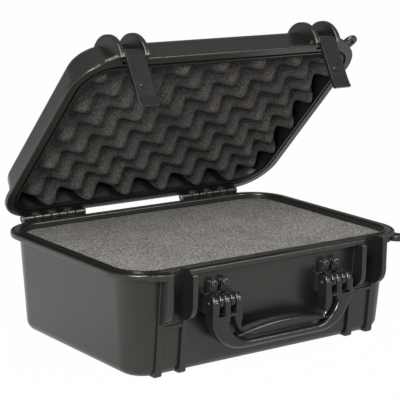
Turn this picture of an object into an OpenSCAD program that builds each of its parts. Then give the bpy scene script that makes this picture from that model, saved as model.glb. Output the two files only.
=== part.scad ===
// Hard-shell carrying case for a microphone.  A moulded base and a shallow lid
// turn on two steel hinge pins at the back.  Two strap latches hang on the lid
// and hook under catch blocks in the rim of the base, between pairs of guard
// plates.  A folding handle turns on two brackets on the front wall.  The base
// is filled with foam blocks, the lid is lined with egg-crate foam.
// X runs left to right, Y front to back, Z up; the origin is the centre of the
// flat bottom.  The lid is drawn closed and then turned open about the hinge.

/* [Case] */
// Length over the rim, left to right
case_length = 360; // [330:1:460]
// Depth over the rim, front to back
case_depth = 256; // [220:1:340]
// Height of the base, from the bottom to the seam
base_height = 108; // [104:1:180]
// Height of the lid above the seam
lid_height = 36; // [34:1:60]
// Radius of the rim's corners, seen from above
corner_radius = 44; // [40:1:56]
// Thickness of the walls and the floor
wall = 3.2; // [2.4:0.1:3.4]
// How far the lid stands open, in degrees from closed
lid_open = 47; // [10:1:100]

/* [Base] */
// Thickness of the flange round the base's rim
base_flange = 6.4; // [5.5:0.1:8]
// Set-back of the base's wall from the rim's edge, at the seam
base_inset = 9.4; // [8.8:0.1:11]
// Extra set-back of the base's wall at the bottom, from the draft
base_draft = 8.1; // [4:0.1:10]
// Radius of the base's bottom edge
base_edge = 11; // [6:0.5:14]
// Rounding of the flange's outer edges
flange_edge = 1.4; // [0.6:0.1:1.8]
// Width of the sealing lip on the base's rim
lip_width = 2; // [1.4:0.1:2.4]
// Height of the sealing lip above the seam
lip_height = 1.4; // [0.8:0.1:1.6]
// Width of the moulded line in the top of the rim
line_width = 1.8; // [1:0.1:2.4]
// Set-back of that line from the rim's edge
line_inset = 2.2; // [1.8:0.1:3]

/* [Lid] */
// Thickness of the flange round the lid's rim
lid_flange = 4.6; // [4.2:0.1:6]
// Set-back of the lid's wall from the rim's edge, at the seam
lid_inset = 6.5; // [5:0.1:8]
// Extra set-back of the lid's wall at the top
lid_draft = 8.5; // [4:0.1:11]
// Radius of the lid's top edge
lid_edge = 10; // [6:0.5:14]
// Gap left at the seam when the lid is shut
seam_gap = 0.4; // [0.3:0.05:0.8]
// Height of the seal's section
seal_height = 2; // [1.4:0.1:2.4]

/* [Hinge] */
// Distance of the hinge pin behind the rim's edge
hinge_back = 5.6; // [5.2:0.1:8]
// Height of the hinge pin above the seam
hinge_rise = 2; // [1:0.1:3]
// Radius of the hinge knuckles
knuckle_r = 5; // [4:0.1:5]
// Radius of the hinge pins
hinge_pin_r = 1.6; // [1.2:0.1:2.4]
// Distance of each hinge's inner end from the middle
hinge_start = 66; // [50:1:80]
// Length of the plain knuckle at each end of a hinge
hinge_end_length = 14; // [8:0.5:16]
// Pitch of the short knuckles between them
knuckle_pitch = 10.2; // [8:0.1:12]
// Number of short knuckles
knuckle_count = 5; // [3:2:5]
// Gap between neighbouring knuckles
knuckle_gap = 1.2; // [0.6:0.1:2]

/* [Guards and pockets] */
// Distance of each latch pocket from the middle
pocket_x = 122.5; // [118:0.5:126]
// Width of the pocket between its two guard plates
pocket_width = 22.6; // [18:0.2:26]
// Thickness of a guard plate
guard_thickness = 6; // [4:0.2:7]
// Reach of the guard plates in front of the rim's edge
guard_reach = 5.5; // [4:0.1:7]
// Depth of the guard plates' lower ends below the seam
guard_drop = 53; // [44:1:58]
// Radius of the guard plates' lower front corner
guard_corner = 18; // [8:0.5:18]
// Depth of the pocket's recess behind the wall, where the latch's tip swings in
pocket_recess = 6; // [5.6:0.1:7]
// Width of the ribs that run down the wall below the guards
rib_width = 7.6; // [6:0.2:9]
// Height of those ribs above the wall
rib_height = 3.2; // [2:0.1:4]
// Length of the swell that leads the rim out to the guards
swell_length = 13; // [8:0.5:16]

/* [Latches] */
// Height of the latch pivot above the seam
latch_pivot_rise = 5.8; // [5.4:0.1:8]
// Reach of the latch pivot in front of the rim's edge
latch_pivot_reach = 0.8; // [0.6:0.1:2]
// Radius of the latch's barrel, to the strap's outer face
latch_barrel_r = 6; // [5.4:0.1:6.4]
// Thickness of the latch's strap
latch_thickness = 3.8; // [3:0.1:4]
// Length of the latch from its pivot to its tip
latch_length = 55; // [48:0.5:57]
// Length of the outward flare at the latch's tip
latch_flare_length = 12; // [6:0.5:16]
// Outward step of that flare
latch_flare = 1.5; // [1:0.1:3]
// How far the latch hangs inwards of straight down, in degrees
latch_hang = 18; // [12:0.5:18]
// Radius of the round boss on the strap's face
latch_boss_r = 4.4; // [3:0.1:6]
// Distance of the boss below the pivot
latch_boss_drop = 32.5; // [20:0.5:38]
// Radius of the latch pins
latch_pin_r = 2.2; // [1.5:0.1:3]
// Radius of the half-round ears that carry the latch
ear_r = 27; // [24:0.5:30]
// Clearance between the latch and its ears, each side
latch_side_clearance = 0.5; // [0.3:0.1:1]

/* [Catches] */
// Width of the catch blocks
catch_width = 11; // [8:0.5:14]
// Set-back of the catch's edge from the rim's edge
catch_inset = 8.2; // [8:0.1:8.4]
// Depth of the catch block from its edge
catch_depth = 2.4; // [1.6:0.1:2.6]
// Radius of the small hole in the catch block
catch_hole_r = 1.2; // [0.8:0.1:1.6]

/* [Handle] */
// Width of the handle
handle_width = 180; // [160:1:190]
// Width of each handle arm
arm_width = 36; // [32:0.5:40]
// Depth of the handle, front to back
handle_depth = 16; // [12:0.5:16]
// Depth of the handle's pivot below the seam
handle_pivot_drop = 36; // [32:0.5:40]
// Reach of the handle's pivot in front of the rim's edge
handle_pivot_reach = 2.5; // [2:0.1:6]
// Distance from the pivot down to the handle's lower edge
handle_drop = 51; // [44:0.5:54]
// Radius of the handle's lower corners
handle_corner = 40; // [24:1:44]
// Height of the grip at its middle
grip_height = 24; // [18:0.5:26]
// Height of the grip at its ends
grip_end_height = 16; // [14:0.5:20]
// Radius of the rounded grip bar behind the rim of the handle
grip_bar_r = 9; // [6:0.2:9.5]
// Pitch of the handle's knuckles
handle_pitch = 13.8; // [12.6:0.1:15]
// Width of a handle knuckle
handle_knuckle = 7.2; // [5:0.1:7.4]
// Radius of the handle's knuckles
handle_knuckle_r = 7.2; // [5.5:0.1:7.6]
// Gap between the handle's knuckles and the bracket's
handle_gap = 0.4; // [0.3:0.05:0.8]
// Radius of the handle pins
handle_pin_r = 2.5; // [1.5:0.1:3]
// Depth of the channel in the handle's face
channel_depth = 8; // [3:0.5:10]
// Width of the channel
channel_width = 8; // [6:0.5:9]
// Width of the handle's rim outside the channel, at the arms
channel_rim = 19; // [17:0.5:21]

/* [Brackets] */
// Width of a bracket's plate
bracket_width = 34; // [30:0.5:38]
// Thickness of a bracket's plate
bracket_plate = 3; // [2:0.1:4]
// Height of the bracket's two screw tabs above the pivot
bracket_above = 21; // [18:0.5:24]
// Depth of the bracket's plate below the pivot
bracket_below = 13; // [10:0.5:16]
// Radius of a bracket screw's head
screw_head_r = 4; // [3:0.1:4.4]
// Height of a bracket screw's head
screw_head_h = 3.4; // [2:0.1:4]
// Radius of a bracket screw's shank
screw_r = 1.8; // [1.2:0.1:2.4]

/* [Padlock lugs] */
// Radius of the padlock holes
lug_hole_r = 3.6; // [2.5:0.1:4.4]
// Radius of the lugs
lug_r = 8; // [7:0.1:10]
// Distance of the holes outside the rim's edge
lug_reach = 5.6; // [5:0.1:8]
// Direction of the lugs at the corner, in degrees from straight forward
lug_angle = 24; // [15:1:35]

/* [Foam] */
// Thickness of the pad on the floor of the base
floor_pad = 10; // [6:0.5:16]
// Depth of the foam's top below the seam
foam_drop = 4.8; // [4.4:0.1:10]
// Gap between the foam and the walls
foam_clearance = 0.4; // [0.2:0.1:1]
// Set-back of the lid's foam from the rim's edge
lid_foam_inset = 19; // [17:0.5:26]
// Gap between the lid foam's tips and the base's foam, lid shut
foam_meeting_gap = 3; // [1:0.5:8]
// Height of the egg-crate waves
crate_wave = 21; // [12:0.5:22]
// Pitch of the egg-crate waves along the case
crate_pitch_x = 49; // [36:0.5:60]
// Pitch of the egg-crate waves across the case
crate_pitch_y = 46; // [36:0.5:60]

/* [Fits] */
// Radial clearance of a pin that is held fast
held_fit = 0.02; // [0.01:0.01:0.04]
// Radial clearance of a pin that something turns on
running_fit = 0.06; // [0.03:0.01:0.1]
// Clearance between moving pieces
moving_clearance = 0.4; // [0.3:0.05:0.6]

/* [Hidden] */

$fn = 48;
corner_steps = 8;      // facets in a quarter turn of a moulded corner
edge_steps = 4;        // facets in a quarter turn of a moulded edge
cut = 0.5;             // how far a cutting shape runs past a face
rim_step = 0.2;        // how far lugs, swells and hinge arms stand back from the flange's faces
half_l = case_length / 2;
half_d = case_depth / 2;
lid_bottom = base_height + seam_gap;
lid_top = base_height + lid_height;
hinge_y = half_d + hinge_back;
hinge_z = base_height + hinge_rise;
rim_under = base_height - base_flange;
guard_bottom = base_height - guard_drop;
handle_pivot_z = base_height - handle_pivot_drop;

// Rims: the base's lip enters a groove in the lid, with the seal at its root
lip_inner = base_inset + wall - 1.2;
lip_outer = lip_inner - lip_width;
groove_side = 0.5;
groove_depth = lip_height - seam_gap + moving_clearance + seal_height;
lid_ledge_inset = lip_inner + groove_side + 1.5;

// Latch: places are given with the lid closed
latch_y = -half_d - latch_pivot_reach;
latch_z = base_height + latch_pivot_rise;
catch_y = -half_d + catch_inset;
latch_width = pocket_width - 2 * latch_side_clearance;
latch_slot_back = latch_y + latch_barrel_r + moving_clearance;
hook_top_z = rim_under - 1.2;
hook_tip_y = hinge_y - sqrt(pow(hinge_y - catch_y + moving_clearance, 2)
                            - pow(hinge_z - hook_top_z, 2));
ear_y = -half_d - 9.5 + ear_r;
ear_z = base_height + 13.5;
guard_front = -half_d - guard_reach;
guard_x = [pocket_x - (pocket_width + guard_thickness) / 2,
           pocket_x + (pocket_width + guard_thickness) / 2];

// Handle and brackets
handle_y = -half_d - handle_pivot_reach;
handle_x = handle_width / 2 - arm_width / 2 - 0.3;
pad_face = handle_y + handle_depth / 2 + moving_clearance + bracket_plate;
bracket_knuckle = handle_pitch - handle_knuckle - 2 * handle_gap;
bracket_face = pad_face - bracket_plate;
bracket_tab_r = screw_head_r + 0.8;
screw_z = handle_pivot_z + bracket_above - bracket_tab_r;
screw_length = 8;

// Padlock lugs
lug_x = half_l - corner_radius + (corner_radius + lug_reach) * sin(lug_angle);
lug_y = -half_d + corner_radius - (corner_radius + lug_reach) * cos(lug_angle);

// Foam
foam_top = base_height - foam_drop;
foam_split = wall + floor_pad + (foam_top - wall - floor_pad) / 2;
ceiling = lid_top - wall;
crate_tip = foam_top + foam_meeting_gap;

plastic = [0.17, 0.17, 0.165];
gloss_black = [0.08, 0.085, 0.09];
steel = [0.6, 0.6, 0.6];
foam_grey = [0.32, 0.31, 0.29];
foam_dark = [0.22, 0.21, 0.2];

// Set-back of the base's wall and the lid's wall from the rim's edge, at height z
function base_wall(z) = base_inset + base_draft * (1 - z / base_height);
function lid_wall(z) = lid_inset + lid_draft * (z - base_height) / lid_height;

// A rounded rectangle set back from the rim's edge, as one ring of points
function ring(inset, z) = [
    for (q = [0:3], k = [0:corner_steps])
        let (a = 90 * (q + k / corner_steps),
             r = max(corner_radius - inset, 1),
             sx = (q == 0 || q == 3) ? 1 : -1,
             sy = q < 2 ? 1 : -1)
        [sx * (half_l - inset - r) + r * cos(a), sy * (half_d - inset - r) + r * sin(a), z]];

// A solid through rings given as [set-back, height], bottom ring first
module moulding(levels) {
    n = 4 * (corner_steps + 1);
    m = len(levels);
    polyhedron(
        points = [for (l = levels) each ring(l[0], l[1])],
        faces = concat(
            [[for (i = [0:n - 1]) i]],
            [for (j = [0:m - 2], i = [0:n - 1])
                let (i2 = (i + 1) % n)
                [j * n + i, (j + 1) * n + i, (j + 1) * n + i2, j * n + i2]],
            [[for (i = [n - 1:-1:0]) (m - 1) * n + i]]));
}

// Levels of a rounded edge of radius r: a bottom edge, or a top edge
function bottom_edge(inset, z, r) = [for (k = [0:edge_steps])
    let (a = 90 * k / edge_steps) [inset + r * (1 - sin(a)), z + r * (1 - cos(a))]];
function top_edge(inset, z, r) = [for (k = [0:edge_steps])
    let (a = 90 * k / edge_steps) [inset + r * (1 - cos(a)), z - r * (1 - sin(a))]];

// A band that follows the rim between two set-backs
module rim_band(outer, inner, z0, z1) {
    difference() {
        moulding([[outer, z0], [outer, z1]]);
        moulding([[inner, z0 - cut], [inner, z1 + cut]]);
    }
}

// An outline drawn in Y and Z, as thick as w, centred at x
module slab(x, w) {
    translate([x - w / 2, 0, 0]) rotate([90, 0, 90]) linear_extrude(w) children();
}

// A round bar along X
module bar(x0, x1, y, z, r) {
    translate([x0, y, z]) rotate([0, 90, 0]) cylinder(h = x1 - x0, r = r);
}

module both_sides() {
    children();
    mirror([1, 0, 0]) children();
}

// Turns what is drawn with the lid closed to the open lid's place
module on_lid() {
    translate([0, hinge_y, hinge_z]) rotate([-lid_open, 0, 0])
        translate([0, -hinge_y, -hinge_z]) children();
}

// The ends of knuckle i along one hinge
knuckle_total = knuckle_count + 2;
function knuckle_start(i) = hinge_start
    + (i == 0 ? 0 : hinge_end_length + (i - 1) * knuckle_pitch);
function knuckle_length(i) =
    (i == 0 || i == knuckle_total - 1 ? hinge_end_length : knuckle_pitch) - knuckle_gap;

// The knuckles first, first + 2, ... with the arms that join them to a flange
module knuckles(first, z0, z1) {
    for (i = [first:2:knuckle_total - 1]) {
        x0 = knuckle_start(i);
        bar(x0, x0 + knuckle_length(i), hinge_y, hinge_z, knuckle_r);
        translate([x0, half_d - 3, z0 + rim_step])
            cube([knuckle_length(i), hinge_back + 3, z1 - z0 - 2 * rim_step]);
    }
}

module hinge_bore(r) {
    bar(hinge_start - cut, knuckle_start(knuckle_total - 1) + hinge_end_length + cut,
        hinge_y, hinge_z, r);
}

// The rim's swells towards the guard plates and its padlock lug, seen from above
module swell_outline() {
    x0 = pocket_x + pocket_width / 2;
    x1 = x0 + guard_thickness;
    steps = 8;
    polygon(concat(
        [[x0, -half_d + 3], [x0, guard_front]],
        [for (k = [0:steps]) [x1 + swell_length * k / steps,
            -half_d - guard_reach * (1 + cos(180 * k / steps)) / 2]],
        [[x1 + swell_length, -half_d + 3]]));
}

module rim_extras(z0, z1) {
    translate([0, 0, z0 + rim_step]) linear_extrude(z1 - z0 - 2 * rim_step) {
        swell_outline();
        mirror([1, 0]) swell_outline();
        translate([lug_x, lug_y]) {
            circle(lug_r);
            rotate([0, 0, lug_angle]) translate([-lug_r, 0]) square([2 * lug_r, lug_reach + 4]);
        }
    }
}

module lug_bore(z0, z1) {
    translate([lug_x, lug_y, z0 - cut]) cylinder(h = z1 - z0 + 2 * cut, r = lug_hole_r);
}

// Side view of a guard plate
module guard_outline() {
    back = -half_d + base_wall(guard_bottom) + 1;
    top = rim_under + 2;
    round = min(guard_corner, back - guard_front - 0.5);
    translate([guard_front, guard_bottom + round])
        square([back - guard_front, top - guard_bottom - round]);
    translate([guard_front + round, guard_bottom])
        square([back - guard_front - round, round + 1]);
    translate([guard_front + round, guard_bottom + round]) circle(round);
}

// Side view of a rib: it follows the drafted wall and turns under the bottom edge
module rib_outline() {
    foot = 3.5;
    low = -half_d + base_wall(foot) - rib_height;
    polygon(concat(
        [[-half_d + base_wall(rim_under) - rib_height, rim_under + 1], [low, foot]],
        [for (a = [22.5:22.5:67.5]) [low + foot * (1 - cos(a)), foot * (1 - sin(a))]],
        [[low + foot, 0],
         [-half_d + base_wall(0) + base_edge + 2, 0],
         [-half_d + base_wall(0) + base_edge + 2, wall],
         [-half_d + base_wall(base_edge) + 1.5, base_edge],
         [-half_d + base_wall(rim_under) + 1.5, rim_under + 1]]));
}

// The plate and the two screw tabs of the bracket at +X, between two depths.  The wall has
// a pad of the same outline under it.
module bracket_slab(front, back) {
    translate([handle_x, back, handle_pivot_z]) rotate([90, 0, 0])
        linear_extrude(back - front) {
            translate([-bracket_width / 2, -bracket_below])
                square([bracket_width, bracket_below + handle_knuckle_r]);
            for (k = [-0.5, 0.5]) translate([k * handle_pitch, 0]) {
                translate([-bracket_tab_r, 0])
                    square([2 * bracket_tab_r, bracket_above - bracket_tab_r]);
                translate([0, bracket_above - bracket_tab_r]) circle(bracket_tab_r);
            }
        }
}

// Side view of the latch pocket: the cut that lets the strap pass and hook in
recess_low = guard_bottom - 3;
recess_wall = -half_d + base_wall(recess_low);
recess_back = recess_wall + pocket_recess;
relief_back = catch_y + 2.4;
module pocket_outline() {
    front = guard_front - 8;
    polygon([[front, recess_low], [recess_wall, recess_low], [recess_back, recess_low + 8],
        [recess_back, recess_low + 24], [relief_back, rim_under - 11],
        [relief_back, rim_under + 0.6], [catch_y, rim_under + 0.6],
        [catch_y, base_height + lip_height + 1], [front, base_height + lip_height + 1]]);
}

// The wall behind the pocket bulges into the base by its own thickness
module pocket_bulge_outline(extra) {
    out = -half_d + base_wall(rim_under) + 0.8;
    polygon([[out, recess_low - wall - extra],
        [recess_back + wall + extra, recess_low - wall - extra],
        [recess_back + wall + extra, recess_low + 25 + extra],
        [-half_d + base_wall(rim_under) + wall + 0.4, rim_under - 9 + extra],
        [out, rim_under - 9 + extra]]);
}

module base_outside() {
    moulding(concat(
        bottom_edge(base_wall(base_edge), 0, base_edge),
        [[base_wall(rim_under), rim_under],
         [flange_edge, rim_under],
         [0, rim_under + flange_edge],
         [0, base_height - flange_edge],
         [flange_edge, base_height]]));
    rim_extras(rim_under, base_height);
    both_sides() {
        knuckles(0, rim_under, base_height);
        for (x = guard_x) {
            slab(x, guard_thickness) guard_outline();
            slab(x, rib_width) rib_outline();
        }
        bracket_slab(pad_face, -half_d + base_wall(handle_pivot_z) + 2);
    }
}

module base_shell() {
    color(plastic) difference() {
        union() {
            difference() {
                base_outside();
                moulding(concat(
                    bottom_edge(base_wall(base_edge) + wall, wall, base_edge - wall),
                    [[base_wall(base_height) + wall, base_height],
                     [base_wall(base_height) + wall, base_height + cut]]));
                rim_band(line_inset, line_inset + line_width, base_height - 1.6,
                         base_height + cut);
            }
            rim_band(lip_outer, lip_inner, base_height - 1, base_height + lip_height);
            both_sides() slab(pocket_x, pocket_width + 2 * wall) pocket_bulge_outline(0);
        }
        both_sides() {
            hinge_bore(hinge_pin_r + held_fit);
            slab(pocket_x, pocket_width) pocket_outline();
            catch_block(0.05);
            bracket_screw_bores(pad_face - cut, screw_length - bracket_plate + 1, screw_r + held_fit);
        }
        lug_bore(rim_under, base_height);
    }
}

module lid_shell() {
    color(plastic) on_lid() difference() {
        union() {
            moulding(concat(
                [[flange_edge, lid_bottom],
                 [0, lid_bottom + flange_edge],
                 [0, lid_bottom + lid_flange - flange_edge],
                 [flange_edge, lid_bottom + lid_flange],
                 [lid_wall(lid_bottom + lid_flange), lid_bottom + lid_flange]],
                top_edge(lid_wall(lid_top - lid_edge), lid_top, lid_edge)));
            rim_extras(lid_bottom, lid_bottom + lid_flange);
            both_sides() {
                knuckles(1, lid_bottom, lid_bottom + lid_flange);
                for (x = guard_x)
                    intersection() {
                        bar(x - guard_thickness / 2, x + guard_thickness / 2, ear_y, ear_z, ear_r);
                        translate([x - guard_thickness, -half_d - ear_r, lid_bottom])
                            cube([2 * guard_thickness, 2 * ear_r, 2 * ear_r]);
                    }
            }
        }
        moulding(concat(
            [[lid_ledge_inset, lid_bottom - cut],
             [lid_ledge_inset, lid_bottom + lid_flange],
             [lid_wall(lid_bottom + lid_flange) + wall, lid_bottom + lid_flange]],
            top_edge(lid_wall(lid_top - lid_edge) + wall, ceiling, lid_edge - wall)));
        rim_band(lip_outer - groove_side, lip_inner + groove_side, lid_bottom - cut,
                 lid_bottom + groove_depth);
        both_sides() {
            hinge_bore(hinge_pin_r + running_fit);
            translate([pocket_x - pocket_width / 2, latch_slot_back - 4 * guard_reach,
                       lid_bottom - cut])
                cube([pocket_width, 4 * guard_reach, lid_flange + cut + 0.2]);
            latch_bore(latch_pin_r + held_fit);
        }
        lug_bore(lid_bottom, lid_bottom + lid_flange);
    }
}

module lid_seal() {
    color([0.05, 0.05, 0.05]) on_lid()
        rim_band(lip_outer - 0.2, lip_inner + 0.2, lid_bottom + groove_depth - seal_height,
                 lid_bottom + groove_depth);
}

// Foam: each block follows the drafted walls, a clearance away
function foam_wall(z) = base_wall(z) + wall + foam_clearance;

module pocket_relief() {
    both_sides() slab(pocket_x, pocket_width + 2 * wall + 2 * foam_clearance)
        pocket_bulge_outline(foam_clearance);
}

module foam_floor_pad() {
    color(foam_grey) moulding(concat(
        bottom_edge(base_wall(base_edge) + wall + foam_clearance, wall, base_edge - wall),
        [[foam_wall(wall + floor_pad), wall + floor_pad]]));
}

module foam_block_lower() {
    color(foam_grey) difference() {
        moulding([[foam_wall(wall + floor_pad), wall + floor_pad],
                  [foam_wall(foam_split), foam_split]]);
        pocket_relief();
    }
}

module foam_block_upper() {
    color(foam_grey) difference() {
        moulding([[foam_wall(foam_split), foam_split], [foam_wall(foam_top), foam_top]]);
        pocket_relief();
    }
}

// Egg-crate foam: a flat back on the lid's ceiling, waves that face down.
// Each row of points ends on the rounded outline, so the corners stay round.
crate_half_l = half_l - lid_foam_inset;
crate_half_d = half_d - lid_foam_inset;
crate_r = corner_radius - lid_foam_inset;
crate_cells_x = 44;
crate_cells_y = 32;
crate_shoulder = lid_edge - 1;
function crate_end(y) = let (over = max(abs(y) - (crate_half_d - crate_r), 0))
    crate_half_l - crate_r + sqrt(max(crate_r * crate_r - over * over, 0));
function crate_x(i, y) = crate_end(y) * (2 * i / crate_cells_x - 1);
function crate_y(j) = crate_half_d * (2 * j / crate_cells_y - 1);
function crate_height(x, y) = crate_tip + crate_wave / 2
    - crate_wave / 2 * cos(360 * (x - 7) / crate_pitch_x) * cos(360 * (y + 8) / crate_pitch_y);

module lid_foam() {
    row = crate_cells_x + 1;
    wave = [for (j = [0:crate_cells_y], i = [0:crate_cells_x])
        let (y = crate_y(j), x = crate_x(i, y)) [x, y, crate_height(x, y)]];
    edge = concat(
        [for (i = [0:crate_cells_x]) i],
        [for (j = [1:crate_cells_y]) j * row + crate_cells_x],
        [for (i = [crate_cells_x - 1:-1:0]) crate_cells_y * row + i],
        [for (j = [crate_cells_y - 1:-1:1]) j * row]);
    n = len(edge);
    base = len(wave);
    shoulder_z = ceiling - crate_shoulder;
    shrink = 1 - crate_shoulder / crate_half_d;
    shoulder = [for (e = edge) [wave[e][0], wave[e][1], shoulder_z]];
    back = [for (e = edge) [wave[e][0] * shrink, wave[e][1] * shrink, ceiling]];
    color(foam_dark) on_lid() polyhedron(
        points = concat(wave, shoulder, back),
        faces = concat(
            [for (j = [0:crate_cells_y - 1], i = [0:crate_cells_x - 1])
                let (a = j * row + i) each [[a, a + 1, a + row + 1], [a, a + row + 1, a + row]]],
            [for (k = [0:n - 1]) let (k2 = (k + 1) % n)
                each [[edge[k], base + k, base + k2], [edge[k], base + k2, edge[k2]]]],
            [for (k = [0:n - 1]) let (k2 = (k + 1) % n)
                each [[base + k, base + n + k, base + n + k2],
                      [base + k, base + n + k2, base + k2]]],
            [[for (k = [n - 1:-1:0]) base + n + k]]));
}

module hinge_pin() {
    color(steel) bar(hinge_start + 0.3,
        knuckle_start(knuckle_total - 1) + hinge_end_length - knuckle_gap - 0.3,
        hinge_y, hinge_z, hinge_pin_r);
}

module hinge_pin_left() { mirror([1, 0, 0]) hinge_pin(); }
module hinge_pin_right() { hinge_pin(); }

// The latch is drawn straight down from its pivot, outside towards -Y
module at_latch() {
    translate([pocket_x, latch_y, latch_z]) rotate([latch_hang, 0, 0]) children();
}

module latch_bore(r) {
    bar(guard_x[0] - guard_thickness / 2 - cut, guard_x[1] + guard_thickness / 2 + cut,
        latch_y, latch_z, r);
}

// Hook's corner in the latch's own frame, turned back from its place on the case
hook_dy = hook_tip_y - latch_y;
hook_dz = hook_top_z - latch_z;
hook_y = hook_dy * cos(latch_hang) + hook_dz * sin(latch_hang);
hook_z = -hook_dy * sin(latch_hang) + hook_dz * cos(latch_hang);

module latch_outline() {
    inside = -latch_barrel_r + latch_thickness;
    circle(latch_barrel_r);
    bend = -latch_length + latch_flare_length;
    polygon([[-latch_barrel_r, 0], [-latch_barrel_r, bend],
        [-latch_barrel_r - latch_flare, -latch_length + 1],
        [-latch_barrel_r - latch_flare + 1, -latch_length],
        [inside - latch_flare, -latch_length], [inside, bend],
        [inside, hook_z - 6], [hook_y, hook_z - 1.6], [hook_y, hook_z], [inside, hook_z + 1.5],
        [inside, 0]]);
}

module latch() {
    color(gloss_black) on_lid() at_latch() difference() {
        union() {
            slab(0, latch_width) latch_outline();
            translate([0, -latch_barrel_r + 1, -latch_boss_drop]) rotate([90, 0, 0])
                cylinder(h = 2, r = latch_boss_r);
        }
        bar(-pocket_width, pocket_width, 0, 0, latch_pin_r + running_fit);
    }
}

module latch_left() { mirror([1, 0, 0]) latch(); }
module latch_right() { latch(); }

module latch_pin() {
    color(steel) on_lid() bar(guard_x[0] - guard_thickness / 2 + 0.4,
        guard_x[1] + guard_thickness / 2 - 0.4, latch_y, latch_z, latch_pin_r);
}

module latch_pin_left() { mirror([1, 0, 0]) latch_pin(); }
module latch_pin_right() { latch_pin(); }

// A catch block set flush into the rim behind the pocket; grow enlarges its seat
module catch_block(grow) {
    translate([pocket_x - catch_width / 2 - grow, catch_y - (grow > 0 ? cut : 0),
               rim_under + 0.6 - (grow > 0 ? cut : 0)])
        cube([catch_width + 2 * grow, catch_depth + grow + (grow > 0 ? cut : 0),
              base_flange - 1.6 + grow + (grow > 0 ? cut : 0)]);
}

module catch_piece() {
    color(gloss_black) difference() {
        catch_block(0);
        translate([pocket_x, catch_y - cut, rim_under + base_flange / 2])
            rotate([-90, 0, 0]) cylinder(h = catch_depth - 0.6 + cut, r = catch_hole_r);
    }
}

module catch_left() { mirror([1, 0, 0]) catch_piece(); }
module catch_right() { catch_piece(); }

// The handle is drawn hanging, in X and Z about its pivot, and extruded in depth
module u_outline(half_w, bottom, r, top) {
    translate([-half_w, bottom + r]) square([2 * half_w, top - bottom - r]);
    translate([-half_w + r, bottom]) square([2 * (half_w - r), r + 1]);
    for (s = [-1, 1]) translate([s * (half_w - r), bottom + r]) circle(r);
}

opening_half = handle_width / 2 - arm_width;
opening_r = 8;
grip_low = -handle_drop + grip_end_height;
grip_crown = grip_height - grip_end_height;
crown_r = (opening_half * opening_half + grip_crown * grip_crown) / (2 * grip_crown);
module opening_outline() {
    difference() {
        u_outline(opening_half, grip_low, opening_r, handle_knuckle_r + 1);
        translate([0, grip_low + grip_crown - crown_r]) circle(crown_r, $fn = 96);
    }
}

channel_outer = handle_width / 2 - channel_rim;
channel_inner = channel_outer - channel_width;
channel_top = -handle_knuckle_r - 9;
module channel_outline() {
    intersection() {
        difference() {
            u_outline(channel_outer, -handle_drop + 8.5, handle_corner - 12, 0);
            u_outline(channel_inner, -handle_drop + 13, handle_corner - 18, 0);
        }
        translate([-handle_width, channel_top - 2 * handle_drop])
            square([2 * handle_width, 2 * handle_drop]);
    }
}

module handle_knuckle_gaps() {
    slot = bracket_knuckle + 2 * handle_gap;
    for (s = [-1, 1], k = [-0.5, 0.5])
        translate([s * handle_x + k * handle_pitch - slot / 2, -handle_depth,
                   -handle_knuckle_r - 4.3])
            cube([slot, 2 * handle_depth, 2 * handle_knuckle_r + 10]);
    for (s = [-1, 1], k = [-1.5, 1.5])
        translate([s * handle_x + k * handle_pitch - (handle_pitch - handle_knuckle) / 2,
                   -handle_depth, -1])
            cube([handle_pitch - handle_knuckle, 2 * handle_depth, 2 * handle_knuckle_r + 10]);
}

module handle() {
    color(gloss_black) translate([0, handle_y, handle_pivot_z]) difference() {
        union() {
            intersection() {
                translate([0, handle_depth / 2, 0]) rotate([90, 0, 0])
                    linear_extrude(handle_depth) difference() {
                        u_outline(handle_width / 2, -handle_drop, handle_corner, handle_knuckle_r);
                        opening_outline();
                    }
                union() {
                    bar(-handle_width, handle_width, 0, 0, handle_knuckle_r);
                    translate([-handle_width, -handle_depth, -2 * handle_drop])
                        cube([2 * handle_width, 2 * handle_depth, 2 * handle_drop]);
                }
            }
            bar(-opening_half, opening_half, 0.4, grip_low - 1, grip_bar_r);
        }
        translate([0, -handle_depth / 2 + channel_depth, 0]) rotate([90, 0, 0])
            linear_extrude(channel_depth + grip_bar_r) channel_outline();
        handle_knuckle_gaps();
        bar(-handle_width, handle_width, 0, 0, handle_pin_r + running_fit);
    }
}

// One bracket at +X: a plate on the wall with a tab for each screw, and two ribbed knuckles
module bracket() {
    color(gloss_black) difference() {
        union() {
            bracket_slab(bracket_face, pad_face);
            for (k = [-0.5, 0.5]) {
                x = handle_x + k * handle_pitch;
                bar(x - bracket_knuckle / 2, x + bracket_knuckle / 2, handle_y, handle_pivot_z,
                    handle_knuckle_r);
                slab(x, bracket_knuckle) translate([handle_y, handle_pivot_z])
                    polygon([[0, -handle_knuckle_r], [0, handle_knuckle_r],
                        [bracket_face - handle_y + 1, handle_knuckle_r + 2.6],
                        [bracket_face - handle_y + 1, -handle_knuckle_r]]);
            }
        }
        bar(handle_x - bracket_width, handle_x + bracket_width, handle_y, handle_pivot_z,
            handle_pin_r + held_fit);
        bracket_screw_bores(bracket_face - cut, bracket_plate + 2 * cut, screw_r + held_fit);
    }
}

module handle_bracket_left() { mirror([1, 0, 0]) bracket(); }
module handle_bracket_right() { bracket(); }

module bracket_screw_bores(y, length, r) {
    for (k = [-0.5, 0.5]) translate([handle_x + k * handle_pitch, y, screw_z])
        rotate([-90, 0, 0]) cylinder(h = length, r = r);
}

module bracket_screws() {
    color(steel) both_sides() {
        bracket_screw_bores(bracket_face - 0.5, screw_length, screw_r);
        for (k = [-0.5, 0.5]) translate([handle_x + k * handle_pitch, bracket_face, screw_z])
            rotate([90, 0, 0]) rotate_extrude() intersection() {
                dome = (screw_head_r * screw_head_r + 4) / 4;
                square([screw_head_r, screw_head_h]);
                translate([0, screw_head_h - dome]) circle(dome);
            }
    }
}

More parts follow.
